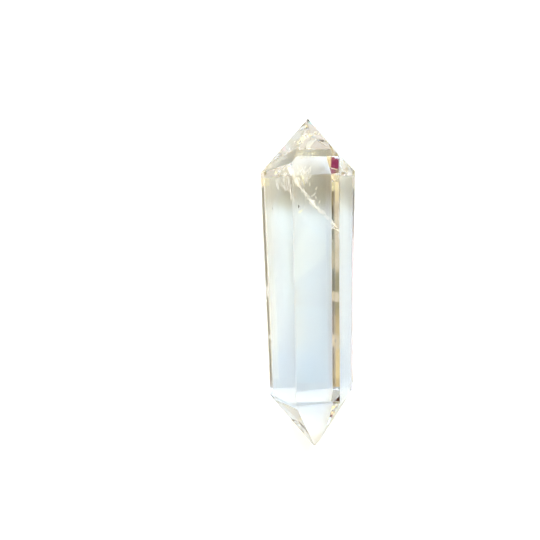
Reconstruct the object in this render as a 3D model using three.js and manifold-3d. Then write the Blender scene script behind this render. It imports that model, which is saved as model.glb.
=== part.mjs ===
// Double terminated quartz point, lying on one of its six side faces.
// Millimetres, +Z up. The crystal's long axis runs along Y and the face that it lies on is at z = 0.
// It is one piece of clear quartz: a slightly tapered six-sided prism with a six-sided pyramid at each end,
// with a blunt chip at each tip and a few small shell-shaped nicks along its edges.

import * as THREE from 'three';
import Module from 'manifold-3d';
import { ConvexGeometry } from 'three/addons/geometries/ConvexGeometry.js';
import { mergeVertices } from 'three/addons/utils/BufferGeometryUtils.js';

// Driving dimensions: the two points where the end faces of each end would meet.
const FAR_TIP = new THREE.Vector3(-0.29, 45.73, 13.1);
const NEAR_TIP = new THREE.Vector3(0.03, -46.58, 9.5);

// The six side faces, in order round the crystal.
// azimuth: the way the face looks, in degrees from +X towards +Z, seen from the near end.
// reach: how far the face is from the long axis on the table (x = 0, z = 0) at mid-length.
// lean: how much further out the face is for each millimetre along +Y.
// far, near: where along Y its end faces start, at its edge with the face before it and the face after it.
// pastTips: how far beyond the far and the near tip its end faces cross the line through the tip along Y.
const SIDE_FACES = [
  { azimuth: 148.0, reach: 16.23, lean: 0.033, far: [31.45, 31.21], near: [-31.55, -31.55] },
  { azimuth: 90.1, reach: 21.82, lean: 0.063, far: [32.9, 32.5], near: [-30.75, -30.9] },
  { azimuth: 23.3, reach: 14.47, lean: 0.033, far: [32.5, 31.9], near: [-30.9, -30.8] },
  { azimuth: -40.4, reach: 4.58, lean: 0.012, far: [31.6, 31.6], near: [-30.5, -30.2], pastTips: [1.2, 2.0] },
  { azimuth: -90.0, reach: 0.0, lean: 0.0, far: [31.6, 31.6], near: [-29.9, -31.06] },
  { azimuth: -146.9, reach: 5.73, lean: 0.001, far: [31.6, 31.45], near: [-31.06, -31.55] },
];

// Flat chips that blunt the tips: the way each one looks, and how deep it is cut into the tip.
const TIP_CHIPS = [
  { tip: NEAR_TIP, looks: new THREE.Vector3(0.62, -0.75, 0.22), depth: 0.56 },
  { tip: FAR_TIP, looks: new THREE.Vector3(-0.25, 0.95, 0.18), depth: 0.07 },
];

// Nicks along the long edges: the two faces that share the edge, the place along Y, the ball that
// scoops the nick out, and how deep the ball bites into the edge.
const EDGE_NICKS = [
  { faces: [2, 3], along: -1.9, radius: 1.1, bite: 0.2 },
  { faces: [2, 3], along: -22.4, radius: 0.9, bite: 0.12 },
  { faces: [5, 0], along: -4.6, radius: 1.6, bite: 0.22 },
  { faces: [5, 0], along: 23.6, radius: 1.2, bite: 0.14 },
  { faces: [0, 1], along: 30.4, radius: 1.0, bite: 0.1 },
  { faces: [3, 4], along: 12.5, radius: 1.3, bite: 0.16 },
  { faces: [4, 5], along: -17.0, radius: 1.2, bite: 0.14 },
];

const CRYSTAL_COLOUR = '#eef3f4';
const CRYSTAL_ROUGHNESS = 0.04;
const CRYSTAL_OPACITY = 0.5;

// Tolerances: points closer than SAME_POINT are one corner, a point less than ON_FACE outside a face
// is on it, and three planes whose determinant is under PARALLEL don't meet in one point.
const SAME_POINT = 1e-4;
const ON_FACE = 1e-6;
const PARALLEL = 1e-6;
const NICK_DETAIL = 3;

const FAR_END = 1;
const NEAR_END = -1;

// A side face as a plane: points p on it satisfy normal . p + constant = 0.
function sidePlane({ azimuth, reach, lean }) {
  const angle = THREE.MathUtils.degToRad(azimuth);
  const normal = new THREE.Vector3(Math.cos(angle), -lean, Math.sin(angle));
  return new THREE.Plane(normal, -reach).normalize();
}

// The point where three planes meet, or null where two of them are parallel.
function meet(a, b, c) {
  const rows = new THREE.Matrix3().set(...a.normal.toArray(), ...b.normal.toArray(), ...c.normal.toArray());
  if (Math.abs(rows.determinant()) < PARALLEL) {
    return null;
  }
  return new THREE.Vector3(-a.constant, -b.constant, -c.constant).applyMatrix3(rows.invert());
}

// The point of the long edge between two side faces at a place along Y.
function edgePoint(faceA, faceB, along) {
  const acrossTheAxis = new THREE.Plane(new THREE.Vector3(0, 1, 0), -along);
  return meet(sidePlane(faceA), sidePlane(faceB), acrossTheAxis);
}

// The end face above a side face: it holds the tip, or a point past it, and the two points where it
// starts on the long edges.
function endPlane(index, end) {
  const count = SIDE_FACES.length;
  const face = SIDE_FACES[index];
  const before = SIDE_FACES[(index + count - 1) % count];
  const after = SIDE_FACES[(index + 1) % count];
  const [first, second] = end === FAR_END ? face.far : face.near;
  const [pastFar, pastNear] = face.pastTips ?? [0, 0];
  const top = (end === FAR_END ? FAR_TIP : NEAR_TIP).clone();
  top.y += end === FAR_END ? pastFar : -pastNear;
  const plane = new THREE.Plane().setFromCoplanarPoints(
    top,
    edgePoint(before, face, first),
    edgePoint(face, after, second),
  );
  const insidePoint = new THREE.Vector3(0, 0, (FAR_TIP.z + NEAR_TIP.z) / 2);
  return plane.distanceToPoint(insidePoint) > 0 ? plane.negate() : plane;
}

function chipPlane({ tip, looks, depth }) {
  const normal = looks.clone().normalize();
  const point = tip.clone().addScaledVector(normal, -depth);
  return new THREE.Plane().setFromNormalAndCoplanarPoint(normal, point);
}

function crystalPlanes() {
  const sides = SIDE_FACES.map(sidePlane);
  const ends = [FAR_END, NEAR_END].flatMap((end) => SIDE_FACES.map((face, index) => endPlane(index, end)));
  return [...sides, ...ends, ...TIP_CHIPS.map(chipPlane)];
}

// Every corner of the crystal: a point where three faces meet and that no other face cuts off.
function crystalCorners(planes) {
  const corners = [];
  for (let i = 0; i < planes.length; i += 1) {
    for (let j = i + 1; j < planes.length; j += 1) {
      for (let k = j + 1; k < planes.length; k += 1) {
        const point = meet(planes[i], planes[j], planes[k]);
        const isInside = point && planes.every((plane) => plane.distanceToPoint(point) < ON_FACE);
        if (isInside && !corners.some((corner) => corner.distanceTo(point) < SAME_POINT)) {
          corners.push(point);
        }
      }
    }
  }
  return corners;
}

// The ball that scoops one nick: its centre stands outside the edge, so that only its cap bites.
function nickBall({ faces, along, radius, bite }) {
  const [faceA, faceB] = faces.map((index) => SIDE_FACES[index]);
  const outward = sidePlane(faceA).normal.clone().add(sidePlane(faceB).normal).normalize();
  const centre = edgePoint(faceA, faceB, along).addScaledVector(outward, radius - bite);
  const ball = new THREE.IcosahedronGeometry(radius, NICK_DETAIL);
  ball.translate(centre.x, centre.y, centre.z);
  return ball;
}

const wasm = await Module();
wasm.setup();

// A closed solid for joining and cutting, from a geometry.
function solidFrom(geometry) {
  const bare = geometry.clone();
  bare.deleteAttribute('normal');
  bare.deleteAttribute('uv');
  const merged = mergeVertices(bare, SAME_POINT);
  return new wasm.Manifold(new wasm.Mesh({
    numProp: 3,
    vertProperties: new Float32Array(merged.attributes.position.array),
    triVerts: new Uint32Array(merged.index.array),
  }));
}

function geometryFrom(solid) {
  const mesh = solid.getMesh();
  const shared = new THREE.BufferGeometry();
  shared.setAttribute('position', new THREE.BufferAttribute(mesh.vertProperties, mesh.numProp));
  shared.setIndex(new THREE.BufferAttribute(mesh.triVerts, 1));
  const flat = shared.toNonIndexed();
  flat.computeVertexNormals();
  return flat;
}

// The origin goes under the middle of the crystal, on the surface that it lies on.
function centreOverOrigin(geometry) {
  geometry.computeBoundingBox();
  const middle = geometry.boundingBox.getCenter(new THREE.Vector3());
  geometry.translate(-middle.x, -middle.y, -geometry.boundingBox.min.z);
  return geometry;
}

function crystalGeometry() {
  const whole = solidFrom(new ConvexGeometry(crystalCorners(crystalPlanes())));
  const nicked = EDGE_NICKS.reduce((solid, nick) => solid.subtract(solidFrom(nickBall(nick))), whole);
  return centreOverOrigin(geometryFrom(nicked));
}

const quartz = new THREE.MeshStandardMaterial({
  color: CRYSTAL_COLOUR,
  roughness: CRYSTAL_ROUGHNESS,
  metalness: 0,
  transparent: true,
  opacity: CRYSTAL_OPACITY,
});

const crystal = new THREE.Mesh(crystalGeometry(), quartz);
crystal.name = 'quartz_point';

const model = new THREE.Group();
model.add(crystal);

export default model;
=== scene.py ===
"""A clear double terminated quartz point, lying on one of its side faces.

The crystal is one closed body of clear quartz: a tapered six-sided prism with a six-sided pyramid at each
end. Its faces are planes, and it is the space behind all of them, so its corners are the places where
planes meet. Inside it lie a healed fracture, fine wisps, a feathery cloud and a few mineral grains, each a
mesh of its own. Sizes are named in millimetres and every mesh is built in metres, in the frame of the
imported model.
"""
import itertools
import logging
import math
from dataclasses import dataclass
from enum import Enum
from typing import Any, Mapping, Sequence

import bmesh
import bpy
import numpy as np
from mathutils import Euler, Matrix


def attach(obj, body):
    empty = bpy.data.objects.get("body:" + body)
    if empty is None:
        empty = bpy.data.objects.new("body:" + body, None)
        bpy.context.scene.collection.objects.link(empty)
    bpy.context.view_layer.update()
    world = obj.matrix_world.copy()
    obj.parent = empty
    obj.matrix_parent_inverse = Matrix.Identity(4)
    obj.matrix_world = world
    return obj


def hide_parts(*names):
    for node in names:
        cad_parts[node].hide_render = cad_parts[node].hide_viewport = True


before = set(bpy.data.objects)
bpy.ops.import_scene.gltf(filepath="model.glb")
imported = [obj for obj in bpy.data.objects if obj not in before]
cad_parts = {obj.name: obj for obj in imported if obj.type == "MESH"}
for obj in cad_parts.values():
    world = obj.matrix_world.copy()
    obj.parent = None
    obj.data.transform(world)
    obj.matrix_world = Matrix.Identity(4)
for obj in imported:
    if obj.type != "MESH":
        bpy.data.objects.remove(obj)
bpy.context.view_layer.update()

LOG = logging.getLogger("quartz_point")

MM = 0.001
CAD_NODE = "quartz_point"
BODY = "root"
WEAR = "wear"

# Two corners closer than SAME_POINT are one, a point less than ON_FACE outside a face is on it, and three
# planes whose determinant is under PARALLEL don't meet in one point. In the finished mesh, corners closer
# than SAME_CORNER are one, and triangles that turn by less than LEVEL are one face. Distances are in
# millimetres.
SAME_POINT = 1e-4
ON_FACE = 1e-6
SAME_CORNER = 0.003
PARALLEL = 1e-7
LEVEL = math.radians(0.2)

# How far the crystal's long axis lies beside the middle of its box, along X, in millimetres.
AXIS_ASIDE = 0.18

# A full turn in degrees. The azimuths of a row of panels are counted over one that starts RUN_IN before the
# row.
FULL_TURN = 360.0
RUN_IN = 10.0

Vector3 = tuple[float, float, float]
Tree = bpy.types.NodeTree
Socket = bpy.types.NodeSocket
Piece = bpy.types.Object


# Colours, nodes and meshes


def linear(hex_colour: str, strength: float = 1.0) -> tuple[float, float, float, float]:
    """Turns an sRGB hex colour into the linear values that a shader takes.

    Args:
        hex_colour: six hex digits after a hash sign.
        strength: what the values are multiplied by.

    Returns:
        Linear red, green and blue, and an alpha of one.
    """
    channels = np.array([int(hex_colour[start:start + 2], 16) for start in (1, 3, 5)]) / 255.0
    lit = np.where(channels <= 0.04045, channels / 12.92, ((channels + 0.055) / 1.055) ** 2.4) * strength
    return (float(lit[0]), float(lit[1]), float(lit[2]), 1.0)


def add_node(
    tree: Tree,
    kind: str,
    settings: Mapping[str, Any] | None = None,
    inputs: Mapping[int | str, Any] | None = None,
) -> bpy.types.Node:
    """Adds one node with its settings and what goes into its sockets.

    Args:
        tree: the node tree that gets the node.
        kind: the node's type name.
        settings: attributes to set on the node itself.
        inputs: by socket name or number, either a value or another node's output socket to link from.

    Returns:
        The new node.
    """
    node = tree.nodes.new(kind)
    for name, value in (settings or {}).items():
        setattr(node, name, value)
    for socket, value in (inputs or {}).items():
        if isinstance(value, Socket):
            tree.links.new(value, node.inputs[socket])
        else:
            node.inputs[socket].default_value = value
    return node


def new_material(name: str) -> tuple[bpy.types.Material, Tree, bpy.types.Node]:
    """Makes an empty node material.

    Args:
        name: the material's name.

    Returns:
        The material, its node tree and its output node.
    """
    material = bpy.data.materials.new(name)
    material.use_nodes = True
    tree = material.node_tree
    tree.nodes.clear()
    return material, tree, add_node(tree, "ShaderNodeOutputMaterial")


def new_piece(name: str, corners: np.ndarray, faces: Sequence[Sequence[int]]) -> Piece:
    """Makes a mesh object at the origin from corners and faces.

    Args:
        name: the object's name.
        corners: an array of corners, three millimetre values each.
        faces: for each face, the numbers of its corners, anticlockwise from outside.

    Returns:
        The new object, linked to the scene.
    """
    mesh = bpy.data.meshes.new(name)
    mesh.from_pydata((np.asarray(corners, float) * MM).tolist(), [], [list(face) for face in faces])
    mesh.validate()
    mesh.update()
    piece = bpy.data.objects.new(name, mesh)
    bpy.context.scene.collection.objects.link(piece)
    return piece


def mottle(tree: Tree, spot_mm: float, first: str, second: str, detail: float = 2.0) -> Socket:
    """Adds a pattern of soft spots that runs from one colour to another.

    Args:
        tree: the material's node tree.
        spot_mm: how far apart the spots are, in millimetres.
        first: one colour.
        second: the other.
        detail: how many finer patterns are laid over the first.

    Returns:
        The socket that gives the colour.
    """
    place = add_node(tree, "ShaderNodeTexCoord")
    spots = add_node(tree, "ShaderNodeTexNoise", inputs={
        "Vector": place.outputs["Object"], "Scale": 1.0 / (spot_mm * MM), "Detail": detail,
    })
    return add_node(tree, "ShaderNodeMix", {"data_type": "RGBA"}, {
        0: spots.outputs["Fac"], 6: linear(first), 7: linear(second),
    }).outputs[2]


def unit(vectors: np.ndarray) -> np.ndarray:
    """Scales vectors to length one along their last axis."""
    return vectors / np.linalg.norm(vectors, axis=-1, keepdims=True)


def slivers(
    spines: np.ndarray, across: np.ndarray, widths: np.ndarray, thickness: np.ndarray, sides: int
) -> tuple[np.ndarray, np.ndarray]:
    """Builds many closed slivers at once, each a flat ring profile carried along its own spine.

    A point of a sliver is spine(t) + width(t) cos(a) across + thickness(t) sin(a) up, with t along the
    spine and a round the profile, and up square to the spine and to across. Both ends of the spine close in
    a point.

    Args:
        spines: (slivers, stations, 3) points along each spine, in millimetres.
        across: (slivers, 3) the direction that each sliver is wide in.
        widths: (slivers, stations - 2) half widths at the inner stations.
        thickness: (slivers, stations - 2) half thicknesses there.
        sides: how many corners the profile has.

    Returns:
        The corners (all slivers in turn) and the triangles.
    """
    count, stations, _ = spines.shape
    rings = stations - 2
    along = unit(spines[:, -1] - spines[:, 0])
    across = unit(across - (across * along).sum(axis=1, keepdims=True) * along)
    up = np.cross(along, across)
    angle = np.linspace(0.0, 2.0 * math.pi, sides, endpoint=False)
    profile = (
        widths[:, :, None, None] * np.cos(angle)[None, None, :, None] * across[:, None, None, :]
        + thickness[:, :, None, None] * np.sin(angle)[None, None, :, None] * up[:, None, None, :]
    )
    tube = spines[:, 1:-1, None, :] + profile
    corners = np.concatenate([tube.reshape(count, rings * sides, 3), spines[:, :1], spines[:, -1:]], axis=1)
    start, end = rings * sides, rings * sides + 1
    side = np.arange(sides)
    after = (side + 1) % sides
    first_cap = np.stack([np.full(sides, start), after, side], axis=1)
    last = (rings - 1) * sides
    last_cap = np.stack([np.full(sides, end), last + side, last + after], axis=1)
    ring = np.arange(rings - 1)[:, None] * sides
    low = np.stack([ring + side, ring + after, ring + sides + side], axis=-1).reshape(-1, 3)
    high = np.stack([ring + after, ring + sides + after, ring + sides + side], axis=-1).reshape(-1, 3)
    one = np.concatenate([first_cap, low, high, last_cap])
    offsets = np.arange(count)[:, None, None] * corners.shape[1]
    return corners.reshape(-1, 3), (one[None] + offsets).reshape(-1, 3)


# Finishes


@dataclass(frozen=True)
class RockCrystal:
    """Clear quartz, cut flat and polished.

    Quartz bends light by 1.544 at its faces and hardly tints it, so the eye sees the table and the hidden
    lower edges through it, shifted and bent, and bright hard-edged reflections inside it.
    """

    ior: float = 1.544
    worn_roughness: float = 0.4
    tint: str = "#ffffff"
    absorption_colour: str = "#f6f3ee"
    absorption_per_metre: float = 8.0

    def material(self) -> bpy.types.Material:
        """Makes the material: clear, with quartz's IOR, a faint absorption and less polish on worn edges."""
        material, tree, output = new_material("clear_polished_quartz")
        wear = add_node(tree, "ShaderNodeAttribute", {"attribute_name": WEAR})
        frost = add_node(tree, "ShaderNodeMath", {"operation": "MULTIPLY"}, {
            0: wear.outputs["Fac"], 1: self.worn_roughness,
        })
        shader = add_node(tree, "ShaderNodeBsdfPrincipled", inputs={
            "Base Color": linear(self.tint),
            "Roughness": frost.outputs[0],
            "IOR": self.ior,
            "Transmission Weight": 1.0,
        })
        absorption = add_node(tree, "ShaderNodeVolumeAbsorption", inputs={
            "Color": linear(self.absorption_colour),
            "Density": self.absorption_per_metre,
        })
        tree.links.new(shader.outputs["BSDF"], output.inputs["Surface"])
        tree.links.new(absorption.outputs["Volume"], output.inputs["Volume"])
        return material


@dataclass(frozen=True)
class HealedFracture:
    """A fracture that grew shut again, full of tiny flat voids that scatter light and look creamy white.

    glow is painted light: the voids give off a faint creamy light of their own, standing in for the light that
    they pass on to each other. A void is too fine to show, so their mottle is drawn as coarse as grain_mm.
    """

    colour: str = "#ffffff"
    shade: str = "#fbf1dc"
    grain_mm: float = 0.35
    roughness: float = 0.45
    glow: float = 0.32

    def material(self) -> bpy.types.Material:
        """Makes the material: creamy white that varies from void to void, with a painted glow that lightens it.
        """
        material, tree, output = new_material("healed_fracture_voids_painted_glow")
        shader = add_node(tree, "ShaderNodeBsdfPrincipled", inputs={
            "Base Color": mottle(tree, self.grain_mm, self.shade, self.colour),
            "Roughness": self.roughness,
            # Painted light: the voids glow with their own creamy white light, so they look brighter than the
            # light reaching them makes them.
            "Emission Color": linear(self.colour),
            "Emission Strength": self.glow,
        })
        tree.links.new(shader.outputs["BSDF"], output.inputs["Surface"])
        return material


@dataclass(frozen=True)
class MineralGrain:
    """A grain of dark iron mineral that the quartz grew round, which shows as a black-brown speck."""

    dark: str = "#1d130d"
    brown: str = "#4a3020"
    grain_mm: float = 0.1
    roughness: float = 0.6

    def material(self) -> bpy.types.Material:
        """Makes the material: near black with brown patches."""
        material, tree, output = new_material("iron_mineral_grain")
        shader = add_node(tree, "ShaderNodeBsdfPrincipled", inputs={
            "Base Color": mottle(tree, self.grain_mm, self.dark, self.brown),
            "Roughness": self.roughness,
        })
        tree.links.new(shader.outputs["BSDF"], output.inputs["Surface"])
        return material


@dataclass(frozen=True)
class MattePaper:
    """Matte white paper: it scatters light evenly, and its fibres give it a very faint mottle."""

    light: str = "#ffffff"
    shade: str = "#f4f4f4"
    fibre_mm: float = 0.5
    fibre_detail: float = 3.0
    brightener: float = 0.42

    def material(self) -> bpy.types.Material:
        """Makes the material: white, mottled by the paper's fibre clumps and bleached to the camera."""
        material, tree, output = new_material("matte_paper")
        colour = mottle(tree, self.fibre_mm, self.shade, self.light, self.fibre_detail)
        shader = add_node(tree, "ShaderNodeBsdfDiffuse", inputs={"Color": colour})
        seen = add_node(tree, "ShaderNodeLightPath")
        boost = add_node(tree, "ShaderNodeMath", {"operation": "MULTIPLY"}, {
            0: seen.outputs["Is Camera Ray"], 1: self.brightener,
        })
        bleach = add_node(tree, "ShaderNodeEmission", inputs={"Strength": boost.outputs[0]})
        both = add_node(tree, "ShaderNodeAddShader", inputs={0: shader.outputs[0], 1: bleach.outputs[0]})
        tree.links.new(both.outputs[0], output.inputs["Surface"])
        return material


# The crystal


@dataclass(frozen=True)
class SideFace:
    """One side face of the prism, with the places along Y where its end faces start.

    azimuth is the way the face looks, in degrees from +X towards +Z. reach is its distance from the axis on
    the table at mid-length and lean is how much further out it is for each millimetre along +Y. far and
    near are where its end faces start, at its edge with the face before it and the face after it. past_tips
    is how far beyond the far and the near tip its end faces cross the line through the tip along Y.
    """

    azimuth: float
    reach: float
    lean: float
    far: tuple[float, float]
    near: tuple[float, float]
    past_tips: tuple[float, float] = (0.0, 0.0)

    def plane(self) -> np.ndarray:
        """Gives the face's plane as its outward unit normal and its distance from the origin."""
        angle = math.radians(self.azimuth)
        normal = np.array([math.cos(angle), -self.lean, math.sin(angle)])
        return np.append(normal, self.reach) / np.linalg.norm(normal)


@dataclass(frozen=True)
class TipChip:
    """A flat chip that blunts a tip: the way it looks and how deep it is cut."""

    looks: Vector3
    depth: float


@dataclass(frozen=True)
class EdgeNick:
    """A shell-shaped nick in a long edge.

    faces are the numbers of the two side faces that share the edge, along is the place along Y, radius is
    the ball that scoops it out and bite is how deep the ball goes into the edge.
    """

    faces: tuple[int, int]
    along: float
    radius: float
    bite: float


class End(Enum):
    """The two ends of the crystal, by the sign of Y."""

    FAR = 1
    NEAR = -1


@dataclass
class Crystal:
    """The body of the crystal: the space behind its side faces, end faces, tip chips and worn edges."""

    far_tip: Vector3 = (-0.29, 45.73, 13.1)
    near_tip: Vector3 = (0.03, -46.58, 9.5)
    sides: tuple[SideFace, ...] = (
        SideFace(148.0, 16.23, 0.033, (31.45, 31.21), (-31.55, -31.55)),
        SideFace(90.1, 21.82, 0.063, (32.9, 32.5), (-30.75, -30.9)),
        SideFace(23.3, 14.47, 0.033, (32.5, 31.9), (-30.9, -30.8)),
        SideFace(-40.4, 4.58, 0.012, (31.6, 31.6), (-30.5, -30.2), (1.2, 2.0)),
        SideFace(-90.0, 0.0, 0.0, (31.6, 31.6), (-29.9, -31.06)),
        SideFace(-146.9, 5.73, 0.001, (31.6, 31.45), (-31.06, -31.55)),
    )
    far_chip: TipChip = TipChip((-0.25, 0.95, 0.18), 0.07)
    near_chip: TipChip = TipChip((0.62, -0.75, 0.22), 0.56)
    nicks: tuple[EdgeNick, ...] = (
        EdgeNick((2, 3), -1.9, 1.1, 0.2),
        EdgeNick((2, 3), -22.4, 0.9, 0.12),
        EdgeNick((5, 0), -4.6, 1.6, 0.22),
        EdgeNick((5, 0), 23.6, 1.2, 0.14),
        EdgeNick((0, 1), 30.4, 1.0, 0.1),
        EdgeNick((3, 4), 12.5, 1.3, 0.16),
        EdgeNick((4, 5), -17.0, 1.2, 0.14),
    )
    long_wear: tuple[float, float] = (0.32, 0.46)
    end_wear: tuple[float, float] = (0.05, 0.12)
    sharp_edge: tuple[int, int] = (4, 5)
    worn_facets: int = 3
    ball_rings: int = 16
    ball_sides: int = 24
    seed: int = 11
    shift: Vector3 = (AXIS_ASIDE, 0.23, 0.0)
    finish: RockCrystal = RockCrystal()

    def edge_point(self, first: int, second: int, along: float) -> np.ndarray:
        """Finds the point of the long edge between two side faces at a place along Y.

        Args:
            first: number of one side face.
            second: number of the other.
            along: the place along Y, in millimetres.

        Returns:
            The point, where the two faces' planes meet the plane y = along.
        """
        count = len(self.sides)
        planes = np.stack([
            self.sides[first % count].plane(),
            self.sides[second % count].plane(),
            np.array([0.0, 1.0, 0.0, along]),
        ])
        return np.linalg.solve(planes[:, :3], planes[:, 3])

    def end_plane(self, index: int, end: End) -> np.ndarray:
        """Finds the end face above a side face.

        It holds its two starting points on the long edges, and the tip or a point past it.

        Args:
            index: number of the side face.
            end: which end of the crystal.

        Returns:
            The plane's outward unit normal and its distance from the origin.
        """
        side = self.sides[index]
        first, second = side.far if end is End.FAR else side.near
        tip = np.array(self.far_tip if end is End.FAR else self.near_tip)
        past_far, past_near = side.past_tips
        tip[1] += past_far if end is End.FAR else -past_near
        before = self.edge_point(index - 1, index, first)
        after = self.edge_point(index, index + 1, second)
        normal = unit(np.cross(before - tip, after - tip))
        inside = np.array([0.0, 0.0, (self.far_tip[2] + self.near_tip[2]) / 2.0])
        normal = normal if normal @ (inside - tip) < 0.0 else -normal
        return np.append(normal, normal @ tip)

    @staticmethod
    def chip_plane(tip: Vector3, chip: TipChip) -> np.ndarray:
        """Gives a chip's plane: square to the way it looks, and its depth behind the tip."""
        normal = unit(np.array(chip.looks))
        return np.append(normal, normal @ np.array(tip) - chip.depth)

    def face_planes(self) -> np.ndarray:
        """Lists the planes of all faces and chips, each as an outward unit normal and a distance."""
        sides = [side.plane() for side in self.sides]
        ends = [self.end_plane(index, end) for end in End for index in range(len(self.sides))]
        chips = [self.chip_plane(self.far_tip, self.far_chip), self.chip_plane(self.near_tip, self.near_chip)]
        return np.stack(sides + ends + chips)

    @staticmethod
    def corners_of(planes: np.ndarray) -> np.ndarray:
        """Finds every corner of the space behind a set of planes.

        A corner is a point where three planes meet and that no other plane cuts off. All triples are solved
        at once.

        Args:
            planes: (planes, 4) outward unit normals and distances.

        Returns:
            The corners, each listed once.
        """
        triples = np.array(list(itertools.combinations(range(len(planes)), 3)))
        rows = planes[triples]
        rows = rows[np.abs(np.linalg.det(rows[..., :3])) > PARALLEL]
        points = np.linalg.solve(rows[..., :3], rows[..., 3:])[..., 0]
        points = points[(points @ planes[:, :3].T - planes[:, 3] < ON_FACE).all(axis=1)]
        apart = np.linalg.norm(points[:, None] - points[None], axis=-1)
        return points[~np.triu(apart < SAME_POINT, 1).any(axis=0)]

    @staticmethod
    def on_planes(corners: np.ndarray, planes: np.ndarray) -> np.ndarray:
        """Says which corners lie on which planes, as a table of corners by planes."""
        return np.abs(corners @ planes[:, :3].T - planes[:, 3]) < SAME_POINT

    def worn_planes(self, planes: np.ndarray) -> np.ndarray:
        """Rounds every edge by a few narrow planes that touch one small arc.

        An edge is a pair of planes that share two corners. The arc's radius is set so that the rounding is
        as wide as the wear, which differs a little from edge to edge and is wider on the long edges but for
        one that stayed sharp. Each narrow plane touches it at an even step between the two faces.

        Args:
            planes: the planes of the faces.

        Returns:
            The narrow planes of all edges.
        """
        corners = self.corners_of(planes)
        shared = self.on_planes(corners, planes).astype(int)
        pairs = np.argwhere(np.triu(shared.T @ shared == 2, 1))
        first, second = planes[pairs[:, 0]], planes[pairs[:, 1]]
        both = (shared[:, pairs[:, 0]] * shared[:, pairs[:, 1]]).T
        on_edge = (both @ corners) / both.sum(axis=1, keepdims=True)
        turn = np.arccos(np.clip((first[:, :3] * second[:, :3]).sum(axis=1), -1.0, 1.0))
        is_long = (pairs < len(self.sides)).all(axis=1) & (pairs != self.sharp_edge).any(axis=1)
        share = np.random.default_rng(self.seed).uniform(0.0, 1.0, len(pairs))
        narrow, wide = np.where(is_long[:, None], self.long_wear, self.end_wear).T
        width = narrow + share * (wide - narrow)
        radius = width / (2.0 * np.sin(turn / 2.0))
        middle = unit(first[:, :3] + second[:, :3])
        centre = on_edge - middle * (radius / np.cos(turn / 2.0))[:, None]
        steps = (np.arange(self.worn_facets) + 1.0) / (self.worn_facets + 1.0)
        sine = np.sin(turn)[:, None]
        low = np.sin((1.0 - steps) * turn[:, None]) / sine
        high = np.sin(steps * turn[:, None]) / sine
        normals = low[..., None] * first[:, None, :3] + high[..., None] * second[:, None, :3]
        reach = (normals * centre[:, None]).sum(axis=-1) + radius[:, None]
        return np.concatenate([normals, reach[..., None]], axis=-1).reshape(-1, 4)

    def wrap(self, planes: np.ndarray, whole: int) -> Piece:
        """Wraps the corners of the space behind a set of planes into one closed piece.

        The wrap is the corners' convex hull, with its level triangles joined to faces. A face is worn where
        the plane that its normal is nearest to is one of the narrow ones.

        Args:
            planes: outward unit normals and distances, the whole faces first.
            whole: how many of them are whole faces.

        Returns:
            The piece, with the wear kept as a value on each of its faces.
        """
        piece = new_piece("crystal_body", self.shifted(self.corners_of(planes)), [])
        hull = bmesh.new()
        hull.from_mesh(piece.data)
        bmesh.ops.remove_doubles(hull, verts=hull.verts, dist=SAME_CORNER * MM)
        wrapped = bmesh.ops.convex_hull(hull, input=hull.verts)
        bmesh.ops.delete(hull, geom=wrapped["geom_interior"], context="VERTS")
        bmesh.ops.dissolve_limit(hull, angle_limit=LEVEL, verts=hull.verts, edges=hull.edges)
        bmesh.ops.recalc_face_normals(hull, faces=hull.faces)
        hull.to_mesh(piece.data)
        hull.free()
        normals = np.zeros(3 * len(piece.data.polygons))
        piece.data.polygons.foreach_get("normal", normals)
        nearest = (normals.reshape(-1, 3) @ planes[:, :3].T).argmax(axis=1)
        wear = piece.data.attributes.new(WEAR, "FLOAT", "FACE")
        wear.data.foreach_set("value", (nearest >= whole).astype(np.float32))
        return piece

    def nick_ball(self, number: int, nick: EdgeNick) -> Piece:
        """Makes the ball that scoops out a nick.

        A point of the ball is centre + radius (sin p cos q, sin p sin q, cos p), with p from pole to pole
        and q round it, so it is a set of slivers with one straight spine.

        Args:
            number: the nick's number, for its name.
            nick: the nick.

        Returns:
            The ball, whose centre stands outside the edge so that only its cap bites.
        """
        first, second = nick.faces
        outward = unit(self.sides[first].plane()[:3] + self.sides[second].plane()[:3])
        centre = self.edge_point(first, second, nick.along) + outward * (nick.radius - nick.bite)
        pole = np.linspace(0.0, math.pi, self.ball_rings)
        spine = centre + np.stack([0.0 * pole, 0.0 * pole, np.cos(pole) * nick.radius], axis=1)
        ring = (np.sin(pole) * nick.radius)[None, 1:-1]
        corners, faces = slivers(spine[None], np.array([[1.0, 0.0, 0.0]]), ring, ring, self.ball_sides)
        return new_piece(f"nick_ball_{number}", self.shifted(corners), faces)

    def shifted(self, points: np.ndarray) -> np.ndarray:
        """Moves points from the crystal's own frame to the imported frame, which centres it over the origin."""
        return points + np.array(self.shift)

    def build(self) -> Piece:
        """Builds the crystal, scoops out its nicks, and puts it in the place of its CAD node."""
        planes = self.face_planes()
        piece = self.wrap(np.concatenate([planes, self.worn_planes(planes)]), len(planes))
        balls = [self.nick_ball(number, nick) for number, nick in enumerate(self.nicks)]
        piece.data.materials.append(self.finish.material())
        for ball in balls:
            cut = piece.modifiers.new(ball.name, "BOOLEAN")
            cut.operation = "DIFFERENCE"
            cut.solver = "EXACT"
            cut.object = ball
        graph = bpy.context.evaluated_depsgraph_get()
        finished = bpy.data.meshes.new_from_object(piece.evaluated_get(graph))
        piece.modifiers.clear()
        piece.data = finished
        for ball in balls:
            bpy.data.objects.remove(ball)
        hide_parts(CAD_NODE)
        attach(piece, BODY)
        return piece


# What lies inside the crystal


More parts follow.
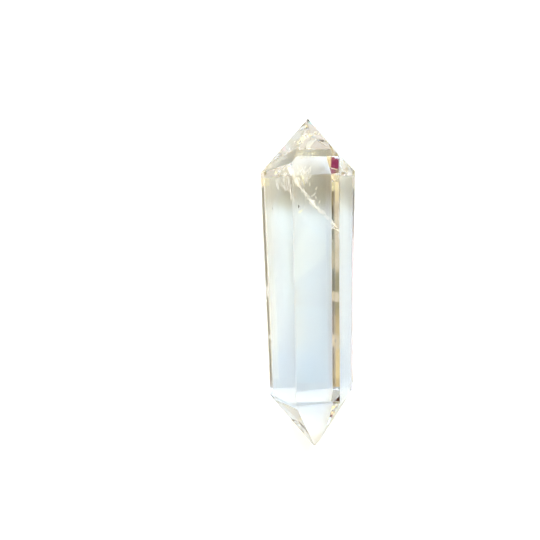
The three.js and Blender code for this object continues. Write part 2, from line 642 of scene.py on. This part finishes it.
@dataclass(frozen=True)
class Tuft:
    """A bunch of fine hairs or voids sown along a path.

    trend is the way they run, or None where they follow the path. count is how many there are, and length,
    width and spread are in millimetres: the shortest and longest, the narrowest and widest half width, and
    how far they scatter about the path along X, Y and Z. fan is how much their direction scatters and flat
    is their thickness as a share of their width.
    """

    path: tuple[Vector3, ...]
    trend: Vector3 | None
    count: int
    length: tuple[float, float]
    width: tuple[float, float]
    spread: Vector3
    fan: float = 0.15
    flat: float = 0.5


@dataclass
class Hairs:
    """A set of tufts that share one finish and make one piece.

    bow is how much the hairs bend, as a share of their half length. stations are the places along a hair
    where its spine has a point, taper is how bluntly it narrows and sides is how many corners it has round
    it.
    """

    name: str
    tufts: tuple[Tuft, ...]
    seed: int
    finish: HealedFracture | MineralGrain
    bow: float = 0.1
    stations: tuple[float, ...] = (-1.0, -0.6, 0.0, 0.6, 1.0)
    taper: float = 0.6
    sides: int = 4

    def strands(self, tuft: Tuft, draw: np.random.Generator) -> tuple[np.ndarray, np.ndarray]:
        """Sows one tuft.

        A hair's middle is path(s) plus a normal scatter, with s even along the path. Its spine is
        middle + half length (t along + bow (1 - t t) aside) for t from -1 to 1, and its half width is
        width (1 - t t) ^ taper, so that it ends in a point on both sides.

        Args:
            tuft: the tuft.
            draw: the source of random numbers.

        Returns:
            The corners and triangles of its hairs.
        """
        path = np.array(tuft.path) + np.array([AXIS_ASIDE, 0.0, 0.0])
        gaps = np.linalg.norm(np.diff(path, axis=0), axis=1)
        run = np.concatenate([[0.0], np.cumsum(gaps)])
        place = draw.uniform(0.0, run[-1], tuft.count)
        middle = np.stack([np.interp(place, run, path[:, axis]) for axis in range(3)], axis=1)
        middle += draw.normal(0.0, 1.0, (tuft.count, 3)) * np.array(tuft.spread)
        if tuft.trend is None:
            piece = np.clip(np.searchsorted(run, place) - 1, 0, len(gaps) - 1)
            trend = unit(np.diff(path, axis=0))[piece]
        else:
            trend = np.broadcast_to(unit(np.array(tuft.trend)), middle.shape)
        along = unit(trend + draw.normal(0.0, tuft.fan, (tuft.count, 3)))
        aside = unit(np.cross(along, unit(draw.normal(0.0, 1.0, (tuft.count, 3)))))
        half = draw.uniform(*tuft.length, tuft.count)[:, None] / 2.0
        steps = np.array(self.stations)
        bulge = 1.0 - steps ** 2
        bow = draw.normal(0.0, self.bow, (tuft.count, 1))
        spines = middle[:, None] + (half * steps)[..., None] * along[:, None]
        spines += (half * bow * bulge)[..., None] * aside[:, None]
        widths = draw.uniform(*tuft.width, tuft.count)[:, None] * bulge[1:-1] ** self.taper
        return slivers(spines, aside, widths, widths * tuft.flat, self.sides)

    def build(self) -> Piece:
        """Builds all tufts as one piece that rides the crystal."""
        draw = np.random.default_rng(self.seed)
        corners, faces, total = [], [], 0
        for tuft in self.tufts:
            points, triangles = self.strands(tuft, draw)
            corners.append(points)
            faces.append(triangles + total)
            total += len(points)
        piece = new_piece(self.name, np.concatenate(corners), np.concatenate(faces))
        piece.data.materials.append(self.finish.material())
        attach(piece, BODY)
        return piece


DOWN_THE_FACE = (0.15, -1.0, 0.2)
DOWN = (0.1, -1.0, 0.0)
SLANTED = (-0.35, -1.0, 0.0)

FRACTURE_LINE = (
    (-4.35, 26.73, 22.47), (-3.2, 25.13, 22.37), (-2.05, 23.73, 22.29), (-1.49, 22.35, 22.2),
    (-0.42, 21.56, 22.16), (0.56, 20.34, 22.08), (1.62, 19.14, 22.01), (2.79, 18.15, 21.95),
    (3.95, 16.94, 21.87), (4.53, 16.04, 21.82),
)

INCLUSIONS = (
    Hairs(
        name="healed_fracture",
        tufts=(
            Tuft(FRACTURE_LINE, None, 66, (0.5, 1.4), (0.05, 0.095), (0.24, 0.24, 0.2), 0.25),
            Tuft(FRACTURE_LINE[3:7], None, 36, (0.4, 1.2), (0.06, 0.12), (0.24, 0.24, 0.2), 0.35),
            Tuft(((-5.2, 29.2, 22.4), (-4.35, 26.73, 22.47)),
                 None, 10, (0.6, 1.6), (0.05, 0.1), (0.25, 0.25, 0.2)),
            Tuft(((-1.2, 22.9, 22.25), (0.06, 19.59, 22.03)),
                 None, 14, (0.5, 1.4), (0.05, 0.08), (0.14, 0.14, 0.2)),
            Tuft(((4.53, 16.04, 21.82), (6.3, 14.2, 21.7)), None, 12, (0.5, 1.4), (0.03, 0.06),
                 (0.16, 0.16, 0.1), 0.2),
            Tuft(((2.9, 15.9, 21.8), (5.9, 14.4, 21.7)),
                 None, 6, (0.6, 1.5), (0.03, 0.06), (0.2, 0.2, 0.1), 0.2),
            Tuft(((0.93, 25.34, 22.4), (0.42, 24.47, 22.34), (0.31, 23.53, 22.28), (-0.45, 23.04, 22.25)),
                 None, 12, (0.5, 1.1), (0.045, 0.08), (0.05, 0.05, 0.05), 0.15),
            Tuft(((0.5, 23.0, 22.2), (0.68, 21.49, 22.15)),
                 None, 6, (0.5, 1.0), (0.045, 0.08), (0.05, 0.05, 0.05)),
            Tuft(((1.67, 22.1, 22.19), (1.37, 21.21, 22.14)),
                 None, 6, (0.4, 0.8), (0.045, 0.08), (0.04, 0.04, 0.04)),
            Tuft(((-2.9, 24.9, 22.3), (-1.9, 21.6, 22.2)),
                 DOWN, 10, (0.5, 1.2), (0.04, 0.08), (0.3, 0.9, 0.2)),
        ),
        seed=3,
        finish=HealedFracture(),
    ),
    Hairs(
        name="growth_wisps",
        tufts=(
            Tuft(((-9.2, 28.3, 16.6), (-9.15, 27.2, 16.6), (-8.75, 26.2, 17.1)), None, 10, (0.6, 1.2),
                 (0.08, 0.13), (0.05, 0.05, 0.05), 0.05),
            Tuft(((-8.9, 27.4, 16.6), (-7.2, 27.0, 19.0)), DOWN_THE_FACE, 14, (0.6, 1.4), (0.05, 0.09),
                 (0.2, 0.7, 0.1)),
            Tuft(((-7.2, 28.4, 19.0), (-5.6, 26.6, 21.5)), DOWN_THE_FACE, 50, (0.5, 1.4), (0.05, 0.11),
                 (0.25, 1.5, 0.1)),
            Tuft(((-8.6, 27.6, 17.2), (-6.4, 25.4, 20.6)), DOWN_THE_FACE, 22, (0.5, 1.2), (0.05, 0.09),
                 (0.25, 1.2, 0.1)),
            Tuft(((-6.0, 28.3, 21.0), (-5.3, 22.0, 22.3)), DOWN_THE_FACE, 34, (0.5, 1.2), (0.06, 0.11),
                 (0.2, 0.5, 0.1)),
            Tuft(((-5.0, 28.2, 22.3), (-3.2, 26.2, 22.3)),
                 DOWN, 30, (0.5, 1.4), (0.05, 0.1), (0.5, 1.0, 0.12)),
            Tuft(((-4.0, 30.0, 22.5), (-0.4, 28.4, 22.4)), SLANTED, 30, (0.5, 1.3), (0.04, 0.08),
                 (0.3, 0.9, 0.1), 0.25),
            Tuft(((-2.8, 29.6, 22.5), (-1.2, 26.4, 22.3)),
                 DOWN, 22, (0.6, 1.4), (0.05, 0.09), (0.3, 0.5, 0.1), 0.12),
            Tuft(((-10.6, 32.4, 12.2), (-5.4, 34.2, 18.0)), (0.5, 1.0, -0.7), 46, (0.5, 1.4), (0.06, 0.11),
                 (0.3, 0.7, 0.1), 0.2),
            Tuft(((-3.4, 39.0, 15.6), (-6.6, 34.4, 17.6)), (0.4, 1.0, -0.8), 14, (0.6, 1.6), (0.03, 0.06),
                 (0.4, 0.6, 0.1), 0.15),
        ),
        seed=5,
        finish=HealedFracture(),
    ),
    Hairs(
        name="feathery_cloud",
        tufts=(
            Tuft(((-3.2, 37.0, 18.0), (-2.4, 38.4, 17.0), (-1.6, 39.0, 16.8),
                  (-0.2, 39.5, 16.4), (2.0, 40.1, 15.6)),
                 (0.8, 1.0, -0.6), 76, (0.4, 1.2), (0.06, 0.12), (0.3, 0.35, 0.12), 0.4, 0.25),
            Tuft(((-3.4, 33.6, 21.6), (1.4, 33.5, 21.6)), (0.3, 1.0, -0.8), 44, (0.3, 0.7), (0.06, 0.11),
                 (0.5, 0.4, 0.12), 0.4, 0.3),
            Tuft(((-2.96, 28.4, 22.4), (-2.39, 26.1, 22.35)), DOWN, 16, (0.6, 1.4), (0.05, 0.1),
                 (0.12, 0.2, 0.08), 0.1, 0.3),
            Tuft(((-3.7, 19.0, 22.2), (-3.2, 19.4, 22.2)),
                 None, 4, (0.9, 1.3), (0.12, 0.2), (0.04, 0.04, 0.04), 0.05, 0.3),
        ),
        seed=8,
        finish=HealedFracture("#fffbe6", "#fdeebb"),
    ),
    Hairs(
        name="mineral_grains",
        tufts=(
            Tuft(((-3.93, 20.62, 22.0), (-3.93, 20.32, 22.0)),
                 None, 3, (0.6, 0.8), (0.1, 0.14), (0.02, 0.03, 0.02)),
            Tuft(((-10.12, 21.25, 13.9), (-10.12, 21.1, 13.9)), None, 3, (0.4, 0.6), (0.08, 0.11),
                 (0.02, 0.02, 0.02)),
            Tuft(((11.0, -9.9, 8.0), (11.0, -10.1, 8.0)),
                 None, 2, (0.3, 0.4), (0.07, 0.09), (0.02, 0.02, 0.02)),
            Tuft(((-11.68, -2.0, 10.1), (-11.68, -2.2, 10.1)),
                 None, 2, (0.3, 0.4), (0.07, 0.09), (0.02, 0.02, 0.02)),
            Tuft(((5.02, 35.85, 18.1), (5.1, 35.75, 18.1)),
                 None, 2, (0.2, 0.3), (0.05, 0.07), (0.01, 0.01, 0.01)),
            # Three dark specks set along the chip at the near tip, which darken the chip there.
            Tuft(((-0.1, -45.3, 9.6), (0.1, -45.2, 9.6)),
                 None, 3, (0.3, 0.5), (0.08, 0.12), (0.05, 0.03, 0.03)),
        ),
        seed=9,
        finish=MineralGrain(),
    ),
)


# The studio


class Blend(Enum):
    """How a card meets what is behind it: its light is added, or it hides it."""

    ADD = "ADD"
    COVER = "MIX"


@dataclass(frozen=True)
class Card:
    """A soft panel of the surroundings, by where it stands as seen from the crystal, in degrees.

    azimuth runs from +X towards +Y. half_azimuth and half_elevation are half its size, soft is how far its
    rim fades, colour is its sRGB colour and strength multiplies it.
    """

    azimuth: float
    elevation: float
    half_azimuth: float
    half_elevation: float
    colour: str
    strength: float = 1.0
    soft: float = 8.0
    blend: Blend = Blend.ADD


@dataclass(frozen=True)
class Cover(Card):
    """A card that hides what is behind it, and so sets the light of one small reflection in the crystal."""

    soft: float = 2.0
    blend: Blend = Blend.COVER


@dataclass(frozen=True)
class Shelf:
    """A row of panels that stand side by side on a circle of the surroundings.

    pole is the direction of the circle's middle, and span is the cosine of the angle from it where the row
    begins and where it ends. panels are the colours in order, each with the azimuth where it starts. The
    last one ends the row. soft_side and soft_end are how far the row fades, as a cosine and in degrees.
    """

    pole: Vector3
    span: tuple[float, float]
    panels: tuple[tuple[float, str], ...]
    soft_side: float = 0.0006
    soft_end: float = 0.2


@dataclass(frozen=True)
class Accent:
    """A small coloured card near the crystal: two opposite corners in millimetres, colour and strength."""

    name: str
    low: Vector3
    high: Vector3
    colour: str
    strength: float


@dataclass
class Sky:
    """The node tree of the surroundings, with the sockets that give the way a ray looks.

    azimuth and elevation are in degrees, and direction is a vector of length one.
    """

    tree: Tree
    azimuth: Socket
    elevation: Socket
    direction: Socket

    @classmethod
    def over(cls, tree: Tree) -> "Sky":
        """Adds the nodes that turn a ray's direction into azimuth and elevation."""
        direction = add_node(tree, "ShaderNodeTexCoord").outputs["Generated"]
        parts = add_node(tree, "ShaderNodeSeparateXYZ", inputs={0: direction})
        turn = add_node(tree, "ShaderNodeMath", {"operation": "ARCTAN2"}, {
            0: parts.outputs["Y"], 1: parts.outputs["X"],
        })
        azimuth = add_node(tree, "ShaderNodeMath", {"operation": "DEGREES"}, {0: turn.outputs[0]}).outputs[0]
        rise = add_node(tree, "ShaderNodeMath", {"operation": "ARCSINE"}, {0: parts.outputs["Z"]})
        elevation = add_node(tree, "ShaderNodeMath", {"operation": "DEGREES"}, {
            0: rise.outputs[0],
        }).outputs[0]
        return cls(tree, azimuth, elevation, direction)

    def inside(self, angle: Socket, centre: float, half: float, soft: float) -> Socket:
        """Adds the nodes that say how far an angle lies inside a range, going the short way round.

        Args:
            angle: the angle in degrees, or the cosine of one.
            centre: the middle of the range.
            half: half the range.
            soft: how wide the rim fades.

        Returns:
            A socket that is 1 inside, 0 outside and smooth across the rim.
        """
        apart = add_node(self.tree, "ShaderNodeMath", {"operation": "SUBTRACT"}, {0: angle, 1: centre})
        near = add_node(self.tree, "ShaderNodeMath", {"operation": "WRAP"}, {
            0: apart.outputs[0], 1: FULL_TURN / 2.0, 2: -FULL_TURN / 2.0,
        })
        away = add_node(self.tree, "ShaderNodeMath", {"operation": "ABSOLUTE"}, {0: near.outputs[0]})
        return add_node(self.tree, "ShaderNodeMapRange", {"interpolation_type": "SMOOTHSTEP"}, {
            "Value": away.outputs[0],
            "From Min": half - soft / 2.0, "From Max": half + soft / 2.0,
            "To Min": 1.0, "To Max": 0.0,
        }).outputs["Result"]

    def lay_card(self, colour: Socket, card: Card) -> Socket:
        """Adds one card to the colour so far, and returns the colour with it."""
        cover = add_node(self.tree, "ShaderNodeMath", {"operation": "MULTIPLY"}, {
            0: self.inside(self.azimuth, card.azimuth, card.half_azimuth, card.soft),
            1: self.inside(self.elevation, card.elevation, card.half_elevation, card.soft),
        })
        return add_node(self.tree, "ShaderNodeMix", {"data_type": "RGBA", "blend_type": card.blend.value}, {
            0: cover.outputs[0], 6: colour, 7: linear(card.colour, card.strength),
        }).outputs[2]

    def lay_shelf(self, colour: Socket, shelf: Shelf) -> Socket:
        """Adds one row of panels to the colour so far, and returns the colour with it."""
        first, last = shelf.panels[0][0], shelf.panels[-1][0]
        half = (last - first) / 2.0
        low, high = shelf.span
        apart = add_node(self.tree, "ShaderNodeVectorMath", {"operation": "DOT_PRODUCT"}, {
            0: self.direction, 1: shelf.pole,
        })
        round_turn = add_node(self.tree, "ShaderNodeMath", {"operation": "WRAP"}, {
            0: self.azimuth, 1: first - RUN_IN + FULL_TURN, 2: first - RUN_IN,
        })
        share = add_node(self.tree, "ShaderNodeMapRange", inputs={
            "Value": round_turn.outputs[0], "From Min": first, "From Max": last,
        })
        ramp = add_node(self.tree, "ShaderNodeValToRGB", inputs={0: share.outputs["Result"]})
        ramp.color_ramp.interpolation = "CONSTANT"
        stops = ramp.color_ramp.elements
        while len(stops) < len(shelf.panels):
            stops.new(1.0)
        for stop, (start, panel) in zip(stops, shelf.panels):
            stop.position = (start - first) / (last - first)
            stop.color = linear(panel)
        cover = add_node(self.tree, "ShaderNodeMath", {"operation": "MULTIPLY"}, {
            0: self.inside(self.azimuth, first + half, half, shelf.soft_end),
            1: self.inside(apart.outputs["Value"], (low + high) / 2.0, (high - low) / 2.0, shelf.soft_side),
        })
        return add_node(self.tree, "ShaderNodeMix", {"data_type": "RGBA"}, {
            0: cover.outputs[0], 6: colour, 7: ramp.outputs["Color"],
        }).outputs[2]


LEMON = "#fbf1bd"
PALE_YELLOW = "#f3e3b9"
IVORY = "#e2ded0"
CREAM = "#e3d6bb"
SAND = "#d9ccae"
DUNE = "#d2c3a1"
BISCUIT = "#c3b593"
TAN = "#a49a79"
CLAY = "#ada28e"
SLATE = "#6a644c"
OLIVE = "#7e6e3d"
PEAT = "#241a02"
INK = "#020202"
KHAKI = "#b2a37a"
STRAW = "#c1ae83"
WHEAT = "#cdbb8e"
GOLD = "#dcc696"
LINEN = "#dcd7c6"
MILK = "#fffbe8"
BARK = "#8a7f60"

# The middles of the circles that the panels stand on: for the sliver along the left edge, and for the two
# columns of the long strip on the right.
SLIVER_POLE = (-0.23361, 0.03316, 0.97176)
LEFT_POLE = (0.40655, -0.00747, -0.9136)
RIGHT_POLE = (-0.24891, -0.00988, 0.96848)


@dataclass
class Studio:
    """The pale floor, the soft window light, the surroundings and the camera.

    floor_half is half the floor's side and floor_drop how far it lies under the crystal. backdrop is what
    the camera sees behind the floor, and below is the light from under the horizon. room_low and room_high
    are the room's light at the horizon and from room_height degrees upwards. camera_turn is in degrees, and
    clip in metres.
    """

    floor_half: float = 1500.0
    floor_drop: float = 0.03
    paper: MattePaper = MattePaper()
    backdrop: str = "#ffffff"
    below: str = "#e8e8e8"
    room_low: tuple[str, float] = ("#ff8055", 0.088)
    room_high: tuple[str, float] = ("#000000", 0.0)
    room_height: float = 75.0
    cards: tuple[Card, ...] = (
        Card(80.2, 50.5, 20.1, 5.6, "#cae8ff", 16.369),
        Card(70.3, 42.0, 15.5, 15.3, "#d5eeff", 1.567),
        Card(303.4, 36.1, 50.6, 9.6, "#fffcb0", 2.761),
        Card(350.6, 51.6, 13.2, 16.2, "#fff2dc", 1.152),
        Card(153.1, 18.1, 5.8, 21.1, "#c0ddff", 8.218),
        Card(51.1, 82.0, 12.7, 4.0, "#fff9c7", 1.769),
        Card(8.4, 57.3, 21.1, 9.8, "#fff7ee", 0.632),
        Card(14.4, 18.9, 9.9, 24.1, "#ffd3a8", 0.547),
        Card(287.9, 28.2, 32.1, 7.8, "#ffdb97", 5.464),
        Card(95.3, 41.2, 14.1, 9.3, "#b5d0ff", 5.49),
        Card(92.3, 17.3, 17.3, 4.5, "#f7fff8", 1.335),
        Card(161.7, 9.6, 16.8, 4.0, "#ecffc9", 2.127),
        Card(183.4, 42.5, 13.0, 5.7, "#ffeef2", 1.125),
        Card(320.5, 82.0, 33.2, 4.5, "#befbff", 1.133),
        Card(162.0, 30.0, 9.1, 5.2, "#f4edff", 11.67),
        Card(26.4, 1.1, 7.6, 5.0, "#faffde", 4.937),
        Cover(234.0, 44.0, 42.0, 30.0, "#ffe680", 0.39, 4.0),
        Cover(75.0, 22.5, 6.0, 5.0, "#fefff3", 0.53, 4.0),
        Cover(100.5, 14.0, 5.0, 7.0, "#fffce6", 0.855, 3.0),
        Cover(211.0, 41.5, 4.0, 3.0, "#fff9ed", 0.92),
        Cover(269.0, 63.0, 6.5, 9.5, "#fff9ea", 0.96),
        Cover(245.0, 40.5, 3.5, 3.0, "#fff4cc", 0.95),
        Cover(284.5, 28.5, 3.0, 3.0, "#fff9ed", 0.85),
        Cover(284.5, 49.0, 3.0, 3.0, "#fff9ed", 0.85),
        Cover(294.5, 34.0, 3.0, 3.0, "#fff9ed", 0.85),
        Cover(223.5, 46.5, 4.0, 3.0, "#fff7e9", 0.82),
        Cover(228.5, 34.0, 4.0, 3.0, "#fff8ec", 0.87),
        Cover(249.5, 54.5, 4.5, 3.0, "#fff9ec", 0.82),
        Cover(112.5, 19.5, 3.0, 3.0, "#fff8ed", 0.87),
        Cover(203.0, 17.5, 4.0, 3.0, "#fff5e6", 0.82),
        Cover(142.0, 19.0, 3.0, 3.0, "#fff7ea", 0.96),
        Cover(252.0, 1.5, 5.0, 3.0, "#fff8e9", 0.8),
        Cover(271.5, 21.5, 3.0, 3.0, "#fffaee", 0.95),
        Cover(286.5, 4.5, 4.0, 3.0, "#fffcf5", 0.82),
        Cover(95.0, 7.5, 3.0, 2.5, "#fffff9", 2.0),
        Cover(308.0, 60.3, 4.0, 2.5, "#ffedbe", 1.25),
        Cover(22.5, 55.0, 3.0, 3.0, "#fff1ce", 0.94),
        Cover(351.5, 67.5, 3.0, 2.5, "#ffebbd", 0.97),
        Cover(324.5, 59.5, 3.0, 3.0, "#fff6dc", 0.9),
        Cover(217.5, 9.0, 2.5, 2.5, "#ffdebc", 0.45),
    )
    shelves: tuple[Shelf, ...] = (
        Shelf(RIGHT_POLE, (0.491, 0.507), (
            (163.0, PALE_YELLOW), (168.0, CREAM), (168.5, SAND), (169.0, CREAM), (173.6, SAND),
            (174.9, CREAM), (176.4, DUNE), (176.7, TAN), (179.2, CREAM), (180.4, TAN), (181.2, KHAKI),
            (182.0, STRAW), (182.8, WHEAT), (184.4, SAND), (186.1, GOLD), (190.5, KHAKI), (191.0, CLAY),
            (192.6, BISCUIT), (194.0, BISCUIT),
        )),
        Shelf(LEFT_POLE, (-0.8800, -0.8703), (
            (159.0, LEMON), (163.7, OLIVE), (165.8, INK), (168.5, IVORY), (169.4, SLATE), (171.2, TAN),
            (172.9, BISCUIT), (175.6, SLATE), (178.9, DUNE), (180.3, PEAT), (185.2, DUNE), (187.0, INK),
            (190.3, OLIVE), (192.9, BISCUIT), (196.0, IVORY),
        )),
        Shelf(LEFT_POLE, (-0.8703, -0.8650), (
            (159.0, LEMON), (163.7, OLIVE), (165.4, TAN), (168.5, IVORY), (169.4, TAN), (173.0, KHAKI),
            (175.4, SLATE), (178.9, DUNE), (180.3, SLATE), (182.4, TAN), (185.2, DUNE), (187.0, TAN),
            (192.9, IVORY), (196.0, IVORY),
        )),
        Shelf(SLIVER_POLE, (0.7690, 0.77184), ((335.0, MILK), (354.0, LINEN), (388.0, MILK), (395.0, MILK))),
        Shelf(SLIVER_POLE, (0.77184, 0.77355), (
            (335.0, BARK), (347.4, MILK), (348.3, BARK), (358.9, MILK), (361.6, BARK), (388.0, MILK),
            (395.0, MILK),
        )),
        Shelf(SLIVER_POLE, (0.77355, 0.7770), ((335.0, MILK), (365.0, MILK), (395.0, MILK))),
    )
    accents: tuple[Accent, ...] = (
        Accent("plum_card", (20.0, -85.0, 10.2), (28.75, -84.7, 20.2), "#9b3e63", 1.05),
        Accent("plum_side_card", (-21.8, -45.3, 1.2), (-16.6, -45.0, 6.0), "#9b3e63", 1.05),
        Accent("plum_far_card", (-39.6, -85.0, 11.0), (-35.2, -84.7, 15.4), "#9b3e63", 1.05),
        Accent("cream_card", (28.75, -85.0, 10.2), (33.0, -84.7, 20.2), "#ffecb6", 1.15),
    )
    camera_place: Vector3 = (-11.474, 4.276, 145.382)
    camera_turn: float = -1.304
    focal: float = 31.897
    sensor: float = 36.0
    clip: tuple[float, float] = (0.005, 10.0)
    bounces: int = 24

    def build_floor(self) -> Piece:
        """Lays a flat sheet of paper just under the crystal."""
        reach, low = self.floor_half, -self.floor_drop
        corners = np.array([
            (-reach, -reach, low), (reach, -reach, low), (reach, reach, low), (-reach, reach, low),
        ])
        floor = new_piece("studio_floor", corners, [(0, 1, 2, 3)])
        floor.data.materials.append(self.paper.material())
        return floor

    @staticmethod
    def build_accent(accent: Accent) -> Piece:
        """Stands one small coloured card, which only light that left the crystal meets.

        Args:
            accent: the card.

        Returns:
            The card as a glowing box.
        """
        corners = np.array(list(itertools.product(*zip(accent.low, accent.high))))
        faces = [(0, 1, 3, 2), (4, 6, 7, 5), (0, 4, 5, 1), (2, 3, 7, 6), (0, 2, 6, 4), (1, 5, 7, 3)]
        card = new_piece(f"studio_{accent.name}", corners, faces)
        material, tree, output = new_material(accent.name)
        glow = add_node(tree, "ShaderNodeEmission", inputs={
            "Color": linear(accent.colour), "Strength": accent.strength,
        })
        tree.links.new(glow.outputs["Emission"], output.inputs["Surface"])
        card.data.materials.append(material)
        for ray in ("camera", "diffuse", "glossy", "volume_scatter", "shadow"):
            setattr(card, f"visible_{ray}", False)
        return card

    def build_surroundings(self) -> bpy.types.World:
        """Paints the surroundings by direction: a room darker upwards, soft light cards and rows of panels.

        The camera itself sees a plain white backdrop.
        """
        world = bpy.data.worlds.new("studio_surroundings")
        world.use_nodes = True
        tree = world.node_tree
        tree.nodes.clear()
        sky = Sky.over(tree)
        height = add_node(tree, "ShaderNodeMapRange", {"interpolation_type": "SMOOTHSTEP"}, {
            "Value": sky.elevation, "From Min": 0.0, "From Max": self.room_height,
        })
        colour = add_node(tree, "ShaderNodeMix", {"data_type": "RGBA"}, {
            0: height.outputs["Result"],
            6: linear(*self.room_low),
            7: linear(*self.room_high),
        }).outputs[2]
        for card in self.cards:
            colour = sky.lay_card(colour, card)
        for shelf in self.shelves:
            colour = sky.lay_shelf(colour, shelf)
        horizon = add_node(tree, "ShaderNodeMath", {"operation": "GREATER_THAN"}, {0: sky.elevation, 1: 0.0})
        whole = add_node(tree, "ShaderNodeMix", {"data_type": "RGBA"}, {
            0: horizon.outputs[0], 6: linear(self.below), 7: colour,
        })
        room = add_node(tree, "ShaderNodeBackground", inputs={"Color": whole.outputs[2], "Strength": 1.0})
        plain = add_node(tree, "ShaderNodeBackground", inputs={
            "Color": linear(self.backdrop), "Strength": 1.0,
        })
        path = add_node(tree, "ShaderNodeLightPath")
        mixed = add_node(tree, "ShaderNodeMixShader", inputs={
            0: path.outputs["Is Camera Ray"], 1: room.outputs[0], 2: plain.outputs[0],
        })
        output = add_node(tree, "ShaderNodeOutputWorld")
        tree.links.new(mixed.outputs[0], output.inputs["Surface"])
        bpy.context.scene.world = world
        return world

    def build_camera(self) -> Piece:
        """Hangs the camera straight over the table and makes it the scene's camera."""
        data = bpy.data.cameras.new("overhead_camera")
        data.lens = self.focal
        data.sensor_width = self.sensor
        data.sensor_fit = "HORIZONTAL"
        data.clip_start, data.clip_end = self.clip
        camera = bpy.data.objects.new("overhead_camera", data)
        camera.location = [value * MM for value in self.camera_place]
        camera.rotation_euler = Euler((0.0, 0.0, math.radians(self.camera_turn)))
        bpy.context.scene.collection.objects.link(camera)
        bpy.context.scene.camera = camera
        return camera

    def set_light_paths(self) -> None:
        """Lets light bounce often enough inside the crystal, and shows colours as they are."""
        scene = bpy.context.scene
        scene.cycles.max_bounces = self.bounces
        scene.cycles.transmission_bounces = self.bounces
        scene.cycles.glossy_bounces = self.bounces
        scene.cycles.blur_glossy = 0.0
        scene.view_settings.view_transform = "Standard"


def report(piece: Piece) -> None:
    """Logs a piece's name and how many faces it has."""
    LOG.info("%s: %d faces", piece.name, len(piece.data.polygons))


def main() -> None:
    """Builds the studio, the crystal and what lies inside it, and reports each piece."""
    logging.basicConfig(level=logging.INFO, format="%(message)s")
    studio = Studio()
    studio.build_camera()
    report(studio.build_floor())
    for accent in studio.accents:
        report(studio.build_accent(accent))
    studio.build_surroundings()
    studio.set_light_paths()
    report(Crystal().build())
    for hairs in INCLUSIONS:
        report(hairs.build())


if __name__ == "__main__":
    main()
